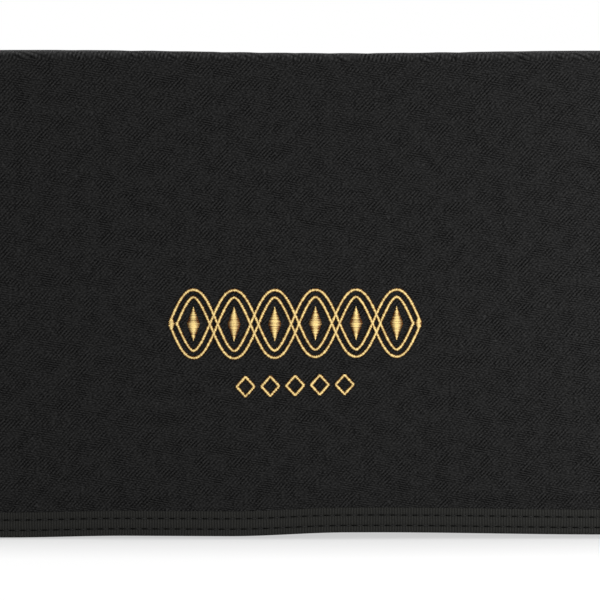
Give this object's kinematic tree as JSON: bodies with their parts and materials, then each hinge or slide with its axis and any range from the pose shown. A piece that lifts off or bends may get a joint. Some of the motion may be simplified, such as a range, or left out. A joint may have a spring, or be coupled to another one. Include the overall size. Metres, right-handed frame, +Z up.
{
  "type": "flight bag",
  "caption": "Soft-sided flight bag with a full-length bound flap, gold embroidery, divider, rear zip pocket, grab handle, trolley band and strap rings.",
  "frame": {"origin": "centre of the base, on the floor", "axes": "+Z up, +X along the width, the flap faces -Y and the rear zip faces +Y"},
  "size_m": [0.346, 0.117, 0.206],
  "materials": {
    "twill": "black twill weave",
    "foam": "soft closed-cell foam, sealed inside the cloth",
    "board": "stiff moulded board",
    "lining_cloth": "dark grey plain-weave nylon",
    "grosgrain": "black ribbed grosgrain tape",
    "piping": "black cloth-covered cord",
    "webbing": "black woven webbing",
    "elastic": "black ribbed elastic",
    "gold_thread": "gold satin-stitch embroidery thread",
    "hook_and_loop": "black hook-and-loop tape",
    "zip_tape": "black woven zip tape",
    "zip_coil": "black nylon coil",
    "zip_metal": "dark plated metal",
    "ring_metal": "bright plated steel"
  },
  "bodies": {
    "bag": {"front_panel": "twill", "back_panel": "twill", "front_foam": "foam", "back_foam": "foam", "side_gusset_right": "twill", "side_gusset_left": "twill", "bottom_panel": "twill", "base_board": "board", "base_foam": "foam", "front_piping": "piping", "back_piping": "piping", "lining": "lining_cloth", "mouth_binding": "grosgrain", "flap_anchor_strip": "webbing", "pocket_loop_patches": "hook_and_loop", "front_pocket": "twill", "front_pocket_binding": "grosgrain", "pen_loops": "elastic", "divider_pad": "lining_cloth", "divider_binding": "grosgrain", "divider_loop_strips": "hook_and_loop", "zipper_tape": "zip_tape", "rear_pocket_bag": "lining_cloth", "zipper_coil": "zip_coil", "zipper_stops": "zip_metal", "trolley_band": "webbing", "grab_handle": "webbing", "ring_tab_right": "webbing", "ring_tab_left": "webbing"},
    "flap_bridge": {"flap_top_shell": "twill", "flap_top_lining": "lining_cloth", "flap_top_foam": "foam", "flap_top_binding": "grosgrain"},
    "flap_drop": {"flap_front_shell": "twill", "flap_front_lining": "lining_cloth", "flap_front_foam": "foam", "flap_front_binding": "grosgrain", "emblem_embroidery": "gold_thread", "row_embroidery": "gold_thread", "flap_hook_patches": "hook_and_loop"},
    "zip_slider": {"zipper_slider": "zip_metal"},
    "zip_pull": {"zipper_pull": "zip_metal"},
    "ring_right": {"d_ring_right": "ring_metal"},
    "ring_left": {"d_ring_left": "ring_metal"}
  },
  "joints": [
    {"name": "flap_root", "type": "hinge", "parent": "bag", "child": "flap_bridge", "pos_m": [0, 0.0466, 0.203], "axis": [-1, 0, 0], "range_deg": [0, 180]},
    {"name": "flap_fold", "type": "hinge", "parent": "flap_bridge", "child": "flap_drop", "pos_m": [0, -0.055, 0.203], "axis": [-1, 0, 0], "range_deg": [0, 90]},
    {"name": "zip_travel", "type": "slide", "parent": "bag", "child": "zip_slider", "axis": [1, 0, 0], "range_m": [0, 0.192]},
    {"name": "pull_swing", "type": "hinge", "parent": "zip_slider", "child": "zip_pull", "pos_m": [-0.096, 0.0466, 0.111], "axis": [0, 0, 1], "range_deg": [0, 180]},
    {"name": "ring_swing_right", "type": "hinge", "parent": "bag", "child": "ring_right", "pos_m": [0.1697, 0, 0.172], "axis": [0, -1, 0], "range_deg": [0, 165]},
    {"name": "ring_swing_left", "type": "hinge", "parent": "bag", "child": "ring_left", "pos_m": [-0.1697, 0, 0.172], "axis": [0, 1, 0], "range_deg": [0, 165]}
  ]
}
